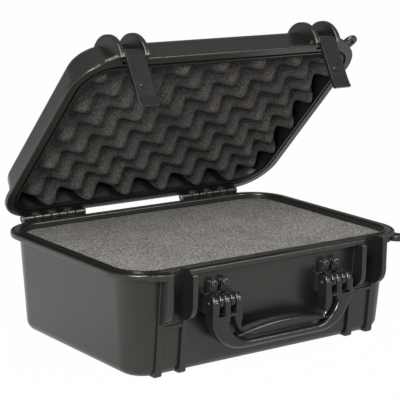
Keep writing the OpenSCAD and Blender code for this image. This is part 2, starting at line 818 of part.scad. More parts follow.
module handle_pin() {
    color(steel) bar(handle_x - handle_pitch - handle_knuckle / 2 + 0.4,
        handle_x + handle_pitch + handle_knuckle / 2 - 0.4, handle_y, handle_pivot_z, handle_pin_r);
}

module handle_pin_left() { mirror([1, 0, 0]) handle_pin(); }
module handle_pin_right() { handle_pin(); }

base_shell();
lid_shell();
lid_seal();
foam_floor_pad();
foam_block_lower();
foam_block_upper();
lid_foam();
hinge_pin_left();
hinge_pin_right();
latch_left();
latch_right();
latch_pin_left();
latch_pin_right();
catch_left();
catch_right();
handle();
handle_bracket_left();
handle_bracket_right();
handle_pin_left();
handle_pin_right();
bracket_screws();
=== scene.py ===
import math

import bmesh
import bpy
from mathutils import Matrix, Vector, noise


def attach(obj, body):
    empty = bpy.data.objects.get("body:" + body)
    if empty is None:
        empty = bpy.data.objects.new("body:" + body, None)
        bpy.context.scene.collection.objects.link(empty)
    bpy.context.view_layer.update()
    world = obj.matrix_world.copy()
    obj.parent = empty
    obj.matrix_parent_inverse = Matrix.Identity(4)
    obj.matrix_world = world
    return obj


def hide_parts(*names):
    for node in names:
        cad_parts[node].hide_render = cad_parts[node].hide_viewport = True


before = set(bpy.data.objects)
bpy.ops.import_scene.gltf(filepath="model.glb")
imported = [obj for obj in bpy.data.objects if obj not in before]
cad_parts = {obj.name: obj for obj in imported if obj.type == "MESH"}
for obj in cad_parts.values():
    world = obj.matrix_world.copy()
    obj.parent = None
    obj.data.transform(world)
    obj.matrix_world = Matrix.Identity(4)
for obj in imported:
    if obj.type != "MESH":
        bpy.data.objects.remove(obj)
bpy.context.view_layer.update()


# ---- The view ----------------------------------------------------------------
# The case stands open on a white floor and is seen from its left front corner,
# a little above the rim, through a long lens; the camera leans by one degree.
camera_place = Vector((-0.95587, -1.27771, 0.48977))
camera_aim = Vector((-0.00112, 0.00670, 0.13796))
camera_lean = math.radians(0.948)
camera_lens = 139.43


def turned_towards(place, aim, lean=0.0):
    """The matrix of something at place that looks at aim."""
    back = (place - aim).normalized()
    right = Vector((0, 0, 1)).cross(back).normalized()
    up = back.cross(right)
    across = right * math.cos(lean) + up * math.sin(lean)
    upward = up * math.cos(lean) - right * math.sin(lean)
    matrix = Matrix((across, upward, back)).transposed().to_4x4()
    matrix.translation = place
    return matrix


scene = bpy.context.scene
scene.view_settings.view_transform = "Standard"
camera = bpy.data.objects.new("camera", bpy.data.cameras.new("camera"))
camera.data.sensor_width = 36.0
camera.data.lens = camera_lens
camera.data.clip_start = 0.05
camera.data.clip_end = 60.0
camera.matrix_world = turned_towards(camera_place, camera_aim, camera_lean)
scene.collection.objects.link(camera)
scene.camera = camera


# ---- Studio light and floor --------------------------------------------------
# A soft box stands at the left front, a larger one hangs above, and a weak one
# stands at the right front.  The white floor runs past the picture's edges.  What
# the plastic mirrors of it is a painted reflection that fades towards the right
# front and with the distance.
floor_reach = 14.0
floor_glow = 0.985
floor_paper = 0.5
room_light = 0.26
painted_shine_way = (-0.35, 0.94, 0.0)


def soft_box(name, place, aim, size, power):
    light = bpy.data.lights.new(name, "AREA")
    light.shape = "RECTANGLE"
    light.size = light.size_y = size
    light.energy = power
    box = bpy.data.objects.new(name, light)
    box.matrix_world = turned_towards(Vector(place), Vector(aim))
    scene.collection.objects.link(box)


soft_box("left_box", (-1.75, -1.45, 1.15), (0.0, 0.0, 0.2), 0.8, 62.0)
soft_box("top_box", (-0.35, -0.85, 1.75), (0.0, 0.0, 0.1), 1.0, 22.0)
soft_box("front_box", (1.00, -1.80, 1.10), (0.0, 0.0, 0.15), 0.8, 16.0)


def number(tree, operation, *values):
    """One Math node; values are numbers or sockets."""
    node = tree.nodes.new("ShaderNodeMath")
    node.operation = operation
    for socket, value in zip(node.inputs, values):
        if isinstance(value, (int, float)):
            socket.default_value = value
        else:
            tree.links.new(value, socket)
    return node.outputs[0]


def ramp(tree, value, start, end, low, high, kind="LINEAR"):
    """The value's range from start to end, turned into low to high."""
    node = tree.nodes.new("ShaderNodeMapRange")
    node.interpolation_type = kind
    node.inputs["From Min"].default_value = start
    node.inputs["From Max"].default_value = end
    node.inputs["To Min"].default_value = low
    node.inputs["To Max"].default_value = high
    tree.links.new(value, node.inputs["Value"])
    return node.outputs["Result"]


def ray_masks(tree):
    """Where a ray sees the background itself, and where it sees it mirrored."""
    path = tree.nodes.new("ShaderNodeLightPath")
    seen = number(tree, "MAXIMUM", path.outputs["Is Camera Ray"],
                  path.outputs["Is Transmission Ray"])
    return seen, path.outputs["Is Glossy Ray"]


world = bpy.data.worlds.new("studio")
world.use_nodes = True
scene.world = world
tree = world.node_tree
tree.nodes.clear()
seen = ray_masks(tree)[0]
room = tree.nodes.new("ShaderNodeBackground")
room.inputs["Color"].default_value = (1.0, 1.0, 1.0, 1.0)
tree.links.new(number(tree, "MULTIPLY_ADD", seen, 1.0 - room_light, room_light),
               room.inputs["Strength"])
out = tree.nodes.new("ShaderNodeOutputWorld")
tree.links.new(room.outputs[0], out.inputs["Surface"])

floor_mesh = bpy.data.meshes.new("floor")
floor_mesh.from_pydata(
    [(x * floor_reach, y * floor_reach, 0) for x, y in ((-1, -1), (1, -1), (1, 1), (-1, 1))],
    [], [(0, 1, 2, 3)])
floor = bpy.data.objects.new("floor", floor_mesh)
scene.collection.objects.link(floor)

white = bpy.data.materials.new("white_floor")
white.use_nodes = True
tree = white.node_tree
tree.nodes.clear()
spot = tree.nodes.new("ShaderNodeTexCoord").outputs["Object"]
towards = tree.nodes.new("ShaderNodeVectorMath")
towards.operation = "DOT_PRODUCT"
towards.inputs[1].default_value = painted_shine_way
tree.links.new(spot, towards.inputs[0])
away = tree.nodes.new("ShaderNodeVectorMath")
away.operation = "LENGTH"
tree.links.new(spot, away.inputs[0])
# painted reflection: the floor's glow as glossy rays see it, weaker towards the right front and with
# the distance
painted_reflection = number(tree, "MULTIPLY",
                ramp(tree, towards.outputs["Value"], -0.18, 0.25, 0.60, 1.0, "SMOOTHSTEP"),
                ramp(tree, away.outputs["Value"], 0.9, 2.0, 1.0, 0.45))
seen, mirrored = ray_masks(tree)
glow = tree.nodes.new("ShaderNodeEmission")
glow.inputs["Color"].default_value = (1.0, 1.0, 1.0, 1.0)
tree.links.new(
    number(tree, "MULTIPLY_ADD", mirrored, number(tree, "SUBTRACT", painted_reflection, 1.0), 1.0),
    glow.inputs["Strength"])
paper = tree.nodes.new("ShaderNodeBsdfDiffuse")
paper.inputs["Color"].default_value = (floor_paper, floor_paper, floor_paper, 1.0)
mix = tree.nodes.new("ShaderNodeMixShader")
tree.links.new(number(tree, "MAXIMUM", number(tree, "MULTIPLY", seen, floor_glow), mirrored),
               mix.inputs[0])
tree.links.new(paper.outputs[0], mix.inputs[1])
tree.links.new(glow.outputs[0], mix.inputs[2])
out = tree.nodes.new("ShaderNodeOutputMaterial")
tree.links.new(mix.outputs[0], out.inputs["Surface"])
floor.data.materials.append(white)


# ---- Moulded plastic ---------------------------------------------------------
# The shells are injection-moulded polypropylene with a fine spark-eroded skin;
# handle, brackets and latches are a harder plastic from polished moulds.
def group_of(name, inputs, outputs):
    """A shader node group with the named sockets, and its two end nodes."""
    tree = bpy.data.node_groups.new(name, "ShaderNodeTree")
    for label, kind, value in inputs:
        socket = tree.interface.new_socket(label, in_out="INPUT", socket_type=kind)
        socket.default_value = value
    for label, kind in outputs:
        tree.interface.new_socket(label, in_out="OUTPUT", socket_type=kind)
    return tree, tree.nodes.new("NodeGroupInput"), tree.nodes.new("NodeGroupOutput")


def noise_of(tree, scale, detail, vector, roughness=0.5):
    node = tree.nodes.new("ShaderNodeTexNoise")
    node.inputs["Detail"].default_value = detail
    node.inputs["Roughness"].default_value = roughness
    if isinstance(scale, float):
        node.inputs["Scale"].default_value = scale
    else:
        tree.links.new(scale, node.inputs["Scale"])
    tree.links.new(vector, node.inputs["Vector"])
    return node.outputs["Fac"]


def blend_colours(tree, factor, first, second):
    """One Mix node; sockets 6 and 7 are its two colours."""
    node = tree.nodes.new("ShaderNodeMix")
    node.data_type = "RGBA"
    for socket, value in zip((node.inputs[0], node.inputs[6], node.inputs[7]),
                             (factor, first, second)):
        if isinstance(value, (int, float, tuple)):
            socket.default_value = value
        else:
            tree.links.new(value, socket)
    return node.outputs[2]


grain, g_in, g_out = group_of(
    "moulded_grain",
    [("Colour", "NodeSocketColor", (0.05, 0.05, 0.05, 1)),
     ("Worn Colour", "NodeSocketColor", (0.09, 0.09, 0.09, 1)),
     ("Grain Scale", "NodeSocketFloat", 1500.0),
     ("Roughness", "NodeSocketFloat", 0.45),
     ("Spread", "NodeSocketFloat", 0.1)],
    [("Color", "NodeSocketColor"), ("Roughness", "NodeSocketFloat"),
     ("Height", "NodeSocketFloat")])
place = grain.nodes.new("ShaderNodeTexCoord").outputs["Object"]
fine = noise_of(grain, g_in.outputs["Grain Scale"], 4.0, place, 0.6)
flow = noise_of(grain, 16.0, 3.0, place)
handled = noise_of(grain, 90.0, 5.0, place, 0.65)
worn = number(grain, "MULTIPLY", number(grain, "SMOOTH_MIN", handled, flow, 0.1), 0.55)
grain.links.new(
    blend_colours(grain, worn, g_in.outputs["Colour"], g_in.outputs["Worn Colour"]),
    g_out.inputs["Color"])
swing = number(grain, "SUBTRACT", number(grain, "ADD", flow, handled), 1.0)
grain.links.new(
    number(grain, "MULTIPLY_ADD", swing, g_in.outputs["Spread"], g_in.outputs["Roughness"]),
    g_out.inputs["Roughness"])
grain.links.new(fine, g_out.inputs["Height"])


def plastic_finish(name, colour, worn_colour, roughness, spread, scale, depth, specular=0.5,
                   tint=(1.0, 1.0, 1.0)):
    material = bpy.data.materials.new(name)
    material.use_nodes = True
    tree = material.node_tree
    shader = tree.nodes["Principled BSDF"]
    skin = tree.nodes.new("ShaderNodeGroup")
    skin.node_tree = grain
    skin.inputs["Colour"].default_value = (*colour, 1.0)
    skin.inputs["Worn Colour"].default_value = (*worn_colour, 1.0)
    skin.inputs["Grain Scale"].default_value = scale
    skin.inputs["Roughness"].default_value = roughness
    skin.inputs["Spread"].default_value = spread
    bump = tree.nodes.new("ShaderNodeBump")
    bump.inputs["Strength"].default_value = 1.0
    bump.inputs["Distance"].default_value = depth
    shader.inputs["Specular IOR Level"].default_value = specular
    shader.inputs["Specular Tint"].default_value = (*tint, 1.0)
    tree.links.new(skin.outputs["Color"], shader.inputs["Base Color"])
    tree.links.new(skin.outputs["Roughness"], shader.inputs["Roughness"])
    tree.links.new(skin.outputs["Height"], bump.inputs["Height"])
    tree.links.new(bump.outputs["Normal"], shader.inputs["Normal"])
    return material


shell_plastic = plastic_finish("shell_plastic", (0.0075, 0.0075, 0.0069),
                               (0.0140, 0.0138, 0.0126), 0.29, 0.08, 1500.0, 0.00004, 0.82,
                               (1.0, 0.985, 0.92))
smooth_plastic = plastic_finish("smooth_plastic", (0.0075, 0.0080, 0.0090),
                                (0.0140, 0.0148, 0.0160), 0.20, 0.10, 900.0, 0.00002, 0.65)


# ---- Base shell --------------------------------------------------------------
# A deep drafted tub in one moulding: flanged rim with a moulded line and a
# sealing lip, guard plates round both latch pockets, ribs down the front wall,
# pads for the handle brackets, hinge knuckles and a lug for a padlock.
case_length = 360.0
case_depth = 256.0
seam = 108.0
wall = 3.2
rim_radius = 44.0
rim_under = seam - 6.4
base_inset, base_draft, base_edge = 9.4, 8.1, 11.0
lip_outer, lip_inner = 9.4, 11.4
pocket_x = 122.5
pocket_width = 22.6
guard_width = 6.0
guard_offset = (pocket_width + guard_width) / 2
guard_places = (pocket_x - guard_offset, pocket_x + guard_offset)
rib_reach = 3.2
guard_front = -case_depth / 2 - 5.5
guard_low = seam - 53.0
recess_low = guard_low - 3.0
catch_y = -case_depth / 2 + 8.2
hinge_y, hinge_z = case_depth / 2 + 5.6, seam + 2.0
corner_facets = 22


def base_wall(z):
    """Set-back of the base's outer wall from the rim's edge, at height z."""
    return base_inset + base_draft * (1 - z / seam)


def rim_ring(inset, z):
    """A rounded rectangle of points, set back from the rim's edge."""
    radius = max(rim_radius - inset, 1.0)
    ring = []
    for quarter, (sx, sy) in enumerate(((1, 1), (-1, 1), (-1, -1), (1, -1))):
        for step in range(corner_facets + 1):
            turn = math.pi / 2 * (quarter + step / corner_facets)
            ring.append((sx * (case_length / 2 - inset - radius) + radius * math.cos(turn),
                         sy * (case_depth / 2 - inset - radius) + radius * math.sin(turn), z))
    return ring


def bend(centre, radius, start, end, steps):
    """Points on an arc, in degrees; (set-back, z) or any other pair."""
    return [(centre[0] + radius * math.cos(math.radians(start + (end - start) * k / steps)),
             centre[1] + radius * math.sin(math.radians(start + (end - start) * k / steps)))
            for k in range(steps + 1)]


def cut_up(bm):
    """Splits the many-cornered faces, so that a later cut can't join their far ends."""
    bmesh.ops.triangulate(bm, faces=[face for face in bm.faces if len(face.verts) > 4])


def piece(name, verts, faces):
    """A closed mesh from millimetres, in the frame's metres."""
    mesh = bpy.data.meshes.new(name)
    mesh.from_pydata([tuple(c / 1000 for c in v) for v in verts], [], faces)
    bm = bmesh.new()
    bm.from_mesh(mesh)
    bmesh.ops.remove_doubles(bm, verts=bm.verts, dist=1e-7)
    bmesh.ops.recalc_face_normals(bm, faces=bm.faces)
    if bm.calc_volume(signed=True) < 0:
        bmesh.ops.reverse_faces(bm, faces=bm.faces)
    cut_up(bm)
    bm.to_mesh(mesh)
    bm.free()
    obj = bpy.data.objects.new(name, mesh)
    scene.collection.objects.link(obj)
    return obj


def moulding(name, levels):
    """A solid through rims at the given (set-back, z) levels, closed at both ends."""
    rings = [rim_ring(*level) for level in levels]
    count = len(rings[0])
    faces = [tuple(range(count)), tuple(range((len(rings) - 1) * count, len(rings) * count))]
    for j in range(len(rings) - 1):
        for i in range(count):
            k = (i + 1) % count
            faces.append((j * count + i, j * count + k, (j + 1) * count + k, (j + 1) * count + i))
    return piece(name, [p for ring in rings for p in ring], faces)


def band(name, outer, inner, z0, z1):
    """A closed ring round the rim between two set-backs."""
    rings = [rim_ring(*level) for level in ((outer, z0), (outer, z1), (inner, z1), (inner, z0))]
    count = len(rings[0])
    faces = []
    for j in range(4):
        for i in range(count):
            k, n = (i + 1) % count, (j + 1) % 4
            faces.append((j * count + i, j * count + k, n * count + k, n * count + i))
    return piece(name, [p for ring in rings for p in ring], faces)


def loft(name, axis, sections):
    """A closed solid through (depth along X, Y or Z, outline) sections."""
    def at(pair, depth):
        spot = list(pair)
        spot.insert("XYZ".index(axis), depth)
        return tuple(spot)
    count, last = len(sections[0][1]), len(sections) - 1
    verts = [at(p, depth) for depth, outline in sections for p in outline]
    faces = [tuple(range(count)), tuple(range(last * count, (last + 1) * count))]
    for j in range(last):
        for i in range(count):
            k = (i + 1) % count
            faces.append((j * count + i, j * count + k, (j + 1) * count + k, (j + 1) * count + i))
    return piece(name, verts, faces)


def round_edges(obj, radius):
    """Rounds every sharp edge of a simple solid by radius, in millimetres."""
    bm = bmesh.new()
    bm.from_mesh(obj.data)
    bmesh.ops.dissolve_limit(bm, angle_limit=math.radians(0.5), verts=bm.verts, edges=bm.edges)
    sharp = [e for e in bm.edges if e.is_manifold and e.calc_face_angle(0) > math.radians(25)]
    bmesh.ops.bevel(bm, geom=sharp, offset=radius / 1000, offset_type="OFFSET",
                    segments=4, profile=0.5, affect="EDGES", clamp_overlap=True)
    cut_up(bm)
    bm.to_mesh(obj.data)
    bm.free()
    return obj


def plate(outline, axis, low, high, edge=0.0):
    """An outline pushed along X, Y or Z, with round edges; its pairs are the other axes."""
    made = loft("plate", axis, [(low, outline), (high, outline)])
    return round_edges(made, edge) if edge else made


def rod(axis, low, high, centre, radius, facets=48, edge=0.0):
    return plate(bend(centre, radius, 0, 360 * (facets - 1) / facets, facets - 1),
                 axis, low, high, edge)


def block(x0, x1, y0, y1, z0, z1, edge=0.0):
    return plate([(x0, y0), (x1, y0), (x1, y1), (x0, y1)], "Z", z0, z1, edge)


def shape(obj, operation, tools):
    """Adds or cuts the tools, one after another, and throws them away."""
    for tool in tools:
        step = obj.modifiers.new("step", "BOOLEAN")
        step.solver = "MANIFOLD"
        step.operation = operation
        step.object = tool
        bpy.context.view_layer.update()
        ready = obj.evaluated_get(bpy.context.evaluated_depsgraph_get())
        bm = bmesh.new()
        bm.from_mesh(ready.to_mesh())
        cut_up(bm)
        obj.modifiers.clear()
        bm.to_mesh(obj.data)
        bm.free()
    for tool in tools:
        bpy.data.objects.remove(tool)


def finish_mesh(obj):
    """Cleans the mesh and shades every bend below 35 degrees as round."""
    bm = bmesh.new()
    bm.from_mesh(obj.data)
    bmesh.ops.dissolve_degenerate(bm, dist=1e-5, edges=bm.edges)
    bmesh.ops.dissolve_limit(bm, angle_limit=math.radians(0.3), verts=bm.verts, edges=bm.edges)
    for face in bm.faces:
        face.smooth = True
    for edge in bm.edges:
        edge.smooth = not (edge.is_manifold and edge.calc_face_angle(0) > math.radians(35))
    bm.to_mesh(obj.data)
    bm.free()
    weigh = obj.modifiers.new("weigh", "WEIGHTED_NORMAL")
    weigh.keep_sharp = True
    return obj


def put_in_place(obj, name, material, body, slot, *stands_for):
    """Names a finished piece, gives it its finish and hangs it on its body."""
    obj.name = name
    obj.data.name = name
    obj.data.materials.clear()
    obj.data.materials.append(material)
    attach(obj, body)
    if stands_for:
        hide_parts(*stands_for)
    return obj


def both_sides(make):
    """make(s) for the left (-1) and the right (1) half of the case."""
    return [part for s in (-1, 1) for part in make(s)]


def span(s, low, high):
    """A range along X on side s, in rising order."""
    return (low, high) if s > 0 else (-high, -low)


knuckle_starts = [66.0] + [80.0 + 10.2 * i for i in range(5)] + [131.0]
knuckle_lengths = [12.8] + [9.0] * 5 + [12.8]
hinge_bore = (65.0, 146.0)


def hinge_knuckles(first, z0, z1):
    made = []
    for s in (-1, 1):
        for i in range(first, 7, 2):
            x0, x1 = span(s, knuckle_starts[i], knuckle_starts[i] + knuckle_lengths[i])
            made.append(rod("X", x0, x1, (hinge_y, hinge_z), 5.0, 40, 0.6))
            made.append(block(x0, x1, case_depth / 2 - 3, hinge_y, z0 + 0.2, z1 - 0.2, 0.6))
    return made


lug_turn, lug_reach, padlock_hole = math.radians(24), 49.6, 3.6
lug_x = case_length / 2 - rim_radius + lug_reach * math.sin(lug_turn)
lug_y = -case_depth / 2 + rim_radius - lug_reach * math.cos(lug_turn)


def rim_swells(z0, z1, edge_round):
    """What widens the rim: the swells to the guard plates, and the padlock lug."""
    x0, x1 = pocket_x + pocket_width / 2, pocket_x + pocket_width / 2 + guard_width
    edge = -case_depth / 2
    outline = [(x0, edge + 6), (x0, guard_front)]
    outline += [(x1 + 14 * k / 12, edge + 0.1 - 5.6 * (1 + math.cos(math.pi * k / 12)) / 2)
                for k in range(13)]
    outline += [(x1 + 18, edge + 6)]
    neck = [(-8, 0), (8, 0), (8, 9.6), (-8, 9.6)]
    c, s = math.cos(lug_turn), math.sin(lug_turn)
    return [plate(outline, "Z", z0, z1, edge_round),
            plate([(-x, y) for x, y in outline], "Z", z0, z1, edge_round),
            plate([(lug_x + x * c - y * s, lug_y + x * s + y * c) for x, y in neck],
                  "Z", z0 + 0.1, z1 - 0.1, 1.2),
            rod("Z", z0 + 0.1, z1 - 0.1, (lug_x, lug_y), 8.0, 56, 1.2)]


def guards_and_ribs(s):
    back = -case_depth / 2 + base_wall(guard_low) + 1
    front = -case_depth / 2 + base_wall(rim_under) - rib_reach
    low = -case_depth / 2 + base_wall(3.5) - rib_reach
    guard = [(back, rim_under + 2), (guard_front + 2, rim_under + 2)]
    guard += bend((guard_front + 2, rim_under), 2.0, 90, 180, 5)
    guard += bend((guard_front + 18, guard_low + 18), 18.0, 180, 270, 14) + [(back, guard_low)]
    rib = [(front, rim_under + 1)] + bend((low + 3.5, 3.5), 3.5, 180, 270, 6)
    foot = -case_depth / 2 + base_wall(0) + 13
    rib += [(foot, 0), (foot, wall), (-case_depth / 2 + base_wall(base_edge) + 1.5, base_edge),
            (front + 4.7, rim_under + 1)]
    made = []
    for x in guard_places:
        made.append(plate(guard, "X", *span(s, x - guard_width / 2, x + guard_width / 2), 0.9))
        made.append(plate(rib, "X", *span(s, x - 3.8, x + 3.8), 0.8))
    return made


pivot_y, pivot_z = -case_depth / 2 - 2.5, seam - 36.0
handle_half, arm = 90.0, 36.0
handle_x = handle_half - arm / 2 - 0.3
pad_face = pivot_y + 8.0 + 0.4 + 3.0
tab_offset, screw_z, screw_hole = 6.9, pivot_z + 16.2, 1.84
barrel = 7.2


def bracket_slab(s, front, back):
    """A bracket's plate with its two screw tabs; the wall has a pad of the same outline."""
    middle = s * handle_x
    tabs = []
    for x in (middle - tab_offset, middle + tab_offset):
        outline = [(x + 4.8, pivot_z)] + bend((x, screw_z), 4.8, 0, 180, 16)
        tabs.append(plate(outline + [(x - 4.8, pivot_z)], "Y", front, back, 0.7))
    return [block(middle - 17, middle + 17, front, back, pivot_z - 13, pivot_z + barrel, 0.7)] + tabs


def bracket_pads(s):
    return bracket_slab(s, pad_face, -case_depth / 2 + base_wall(pivot_z) + 2)


def pocket_cuts(s):
    """Room for the strap of the shut latch, with a stepped floor behind it."""
    surface, front = -case_depth / 2 + base_wall(recess_low), guard_front - 8
    cut = [(front, recess_low), (surface, recess_low), (surface + 6, recess_low + 8),
           (surface + 6, recess_low + 24), (catch_y + 2.4, rim_under - 11),
           (catch_y + 2.4, rim_under + 0.6), (catch_y, rim_under + 0.6), (catch_y, seam + 3),
           (front, seam + 3)]
    x0, x1 = span(s, pocket_x - pocket_width / 2, pocket_x + pocket_width / 2)
    return [plate(cut, "X", x0, x1)]


def pocket_backs(s, extra=0.0):
    """The wall bulges into the tub behind each pocket; extra is a clearance round it."""
    out = -case_depth / 2 + base_wall(rim_under) + 0.8
    back = -case_depth / 2 + base_wall(recess_low) + 6 + wall + extra
    outline = [(out, recess_low - wall - extra), (back, recess_low - wall - extra),
               (back, recess_low + 25 + extra),
               (-case_depth / 2 + base_wall(rim_under) + wall + 0.4, rim_under - 9 + extra),
               (out, rim_under - 9 + extra)]
    reach = pocket_width / 2 + wall + extra
    return [plate(outline, "X", s * pocket_x - reach, s * pocket_x + reach)]


bottom_inset = base_wall(base_edge)
outside = bend((bottom_inset + base_edge, base_edge), base_edge, 270, 180, 8)
outside += [(base_wall(rim_under), rim_under - 1.6)]
outside += bend((base_wall(rim_under) - 1.6, rim_under - 1.6), 1.6, 0, 90, 4)[1:]
outside += bend((2.0, rim_under + 2.0), 2.0, 270, 180, 5)
outside += bend((1.8, seam - 1.8), 1.8, 180, 90, 5)
inside = bend((bottom_inset + base_edge, base_edge), base_edge - wall, 270, 180, 6)
inside += [(base_wall(seam) + wall, seam - 0.8), (base_wall(seam) + wall - 0.5, seam),
           (base_wall(seam) + wall - 0.5, seam + 1)]

base = moulding("base_shell_moulded", outside)
shape(base, "UNION", rim_swells(rim_under, seam, 1.9) + hinge_knuckles(0, rim_under, seam)
      + both_sides(guards_and_ribs) + both_sides(bracket_pads))
shape(base, "DIFFERENCE", [moulding("cavity", inside),
                           band("line", 2.4, 4.0, seam - 1.6, seam + 1)])
shape(base, "UNION", [band("lip", lip_outer, lip_inner, seam - 1, seam + 1.4)]
      + both_sides(pocket_backs))
cuts = both_sides(pocket_cuts)
cuts += both_sides(lambda s: [
    rod("X", *span(s, *hinge_bore), (hinge_y, hinge_z), 1.65, 24),
    block(*span(s, pocket_x - 5.55, pocket_x + 5.55), catch_y - 0.5, catch_y + 2.45,
          rim_under + 0.1, seam - 0.9)])
cuts += [rod("Y", pad_face - 0.5, pad_face + 6, (s * handle_x + k, screw_z), screw_hole, 24)
         for s in (-1, 1) for k in (-tab_offset, tab_offset)]
cuts += [rod("Z", rim_under - 1, seam + 1, (lug_x, lug_y), padlock_hole)]
shape(base, "DIFFERENCE", cuts)
finish_mesh(base)
put_in_place(base, "base_shell_moulded", shell_plastic, "base", "shell_plastic", "base_shell")


# ---- Lid shell ---------------------------------------------------------------
# A shallow moulded tray with a rounded top edge.  Its flange meets the base's
# rim and carries two pairs of half-round ears for the latches, hinge knuckles
# and the second half of the padlock lug; a groove takes the sealing ring.
lid_bottom = seam + 0.4
flange_top = lid_bottom + 4.6
lid_height, lid_inset, lid_draft, lid_edge = 36.0, 6.5, 8.5, 10.0
shoulder = seam + lid_height - lid_edge
ceiling = seam + lid_height - wall
lid_open = math.radians(47)
latch_y, latch_z = -case_depth / 2 - 0.8, seam + 5.8
ear_radius = 27.0
ear_y, ear_z = -case_depth / 2 - 9.5 + ear_radius, seam + 13.5
hinge_place = Matrix.Translation((0, hinge_y / 1000, hinge_z / 1000))
lid_swing = hinge_place @ Matrix.Rotation(-lid_open, 4, "X") @ hinge_place.inverted()


def lid_wall(z):
    """Set-back of the lid's outer wall from the rim's edge, at height z."""
    return lid_inset + lid_draft * (z - seam) / lid_height


def tube(axis, low, high, centre, outer, inner, facets=64):
    """A closed round collar along an axis."""
    rings = []
    for radius, depth in ((outer, low), (outer, high), (inner, high), (inner, low)):
        for p in bend(centre, radius, 0, 360 * (facets - 1) / facets, facets - 1):
            spot = list(p)
            spot.insert("XYZ".index(axis), depth)
            rings.append(tuple(spot))
    faces = [(j * facets + i, j * facets + (i + 1) % facets,
              (j + 1) % 4 * facets + (i + 1) % facets, (j + 1) % 4 * facets + i)
             for j in range(4) for i in range(facets)]
    return piece("tube", rings, faces)


def latch_ears(s):
    made = []
    for x in guard_places:
        sections = []
        for step, radius in bend((1.4, ear_radius - 1.4), 1.4, 180, 90, 5):
            low = math.degrees(math.asin((lid_bottom - ear_z) / radius))
            sections.append((step - guard_width / 2, bend((ear_y, ear_z), radius, low, 180 - low, 64)))
        sections += [(-depth, outline) for depth, outline in reversed(sections)]
        made.append(loft("ear", "X", [(s * x + depth, outline) for depth, outline in sections]))
    return made


outside = bend((1.4, lid_bottom + 1.4), 1.4, 270, 180, 5)
outside += bend((1.4, flange_top - 1.4), 1.4, 180, 90, 5)
outside += bend((lid_wall(flange_top) - 1.2, flange_top + 1.2), 1.2, 270, 360, 4)
outside += bend((lid_wall(shoulder) + lid_edge, shoulder), lid_edge, 180, 90, 9)
inside = [(13.4, lid_bottom - 1), (13.4, flange_top), (lid_wall(flange_top) + wall, flange_top)]
inside += bend((lid_wall(shoulder) + lid_edge, shoulder), lid_edge - wall, 180, 90, 7)

lid = moulding("lid_shell_moulded", outside)
shape(lid, "UNION", rim_swells(lid_bottom, flange_top, 1.4)
      + hinge_knuckles(1, lid_bottom, flange_top) + both_sides(latch_ears))
cuts = [moulding("cavity", inside),
        band("groove", lip_outer - 0.5, lip_inner + 0.5, lid_bottom - 1, lid_bottom + 3.4),
        rod("Z", lid_bottom - 1, flange_top + 1, (lug_x, lug_y), padlock_hole)]
cuts += both_sides(lambda s: [
    rod("X", *span(s, *hinge_bore), (hinge_y, hinge_z), 1.66, 24),
    rod("X", *span(s, 104, 141), (latch_y, latch_z), 2.22, 32),
    block(*span(s, pocket_x - pocket_width / 2, pocket_x + pocket_width / 2),
          latch_y - 12, latch_y + 6.4, lid_bottom - 0.5, flange_top + 0.2)])
shape(lid, "DIFFERENCE", cuts)
finish_mesh(lid).data.transform(lid_swing)
put_in_place(lid, "lid_shell_moulded", shell_plastic, "lid", "shell_plastic", "lid_shell")


# ---- Sealing ring ------------------------------------------------------------
# A closed cord of soft rubber, pressed into the groove in the lid's rim.  The
# lip on the base's rim squeezes it when the lid is shut.
seal_rubber = plastic_finish("seal_rubber", (0.012, 0.012, 0.012), (0.022, 0.022, 0.022),
                             0.62, 0.1, 1100.0, 0.00003, 0.35)
seal = band("lid_seal_cord", lip_outer - 0.2, lip_inner + 0.2, lid_bottom + 1.4, lid_bottom + 3.4)
finish_mesh(round_edges(seal, 0.7)).data.transform(lid_swing)
put_in_place(seal, "lid_seal_cord", seal_rubber, "lid", "seal_rubber", "lid_seal")


# ---- Strap latches -----------------------------------------------------------
# One moulding each: a barrel that turns on a steel pin between two ears, a
# flat strap with a plain round boss inside a ring, a hook on the inner face
# and a tip that bends forward for the thumb.
latch_width = pocket_width - 1.0
latch_boss_z = -32.5
latch_hang = math.radians(18)


def latch_strap(s):
    outline = [(-6.0, 0), (-6.0, -43)] + bend((-56.0, -43.0), 50.0, 0, -13, 5)[1:]
    outline += [(-7.5, -55), (-3.6, -55)] + bend((-56.0, -43.0), 53.8, -12.5, 0, 5)
    outline += [(-2.2, 0)]
    hook = [(-4.0, -22.0), (-2.2, -21.4), (4.23, -17.0), (4.23, -15.4), (-2.2, -14.0),
            (-4.0, -14.0)]
    strap = plate(outline, "X", -latch_width / 2, latch_width / 2, 0.7)
    shape(strap, "UNION", [rod("X", -latch_width / 2, latch_width / 2, (0, 0), 6.0, 72, 0.7),
                           plate(hook, "X", -latch_width / 2 + 0.6, latch_width / 2 - 0.6)])
    boss = loft("boss", "Y", [(-5.0, bend((0, latch_boss_z), 4.4, 0, 351, 39)),
                              (-6.5, bend((0, latch_boss_z), 4.4, 0, 351, 39)),
                              (-6.8, bend((0, latch_boss_z), 4.1, 0, 351, 39))])
    shape(strap, "UNION", [boss])
    shape(strap, "DIFFERENCE", [
        rod("X", -latch_width, latch_width, (0, 0), 2.26, 32),
        rod("Y", -8, -6.3, (0, latch_boss_z), 2.4, 40),
        tube("Y", -6.4, -5.6, (0, latch_boss_z), 5.5, 4.7)])
    hang = Matrix.Translation((s * pocket_x / 1000, latch_y / 1000, latch_z / 1000))
    finish_mesh(strap).data.transform(lid_swing @ hang @ Matrix.Rotation(latch_hang, 4, "X"))
    return strap


for s, side in ((-1, "left"), (1, "right")):
    put_in_place(latch_strap(s), "latch_strap_" + side, smooth_plastic, "latch_" + side,
                 "gloss_plastic", "latch_" + side)


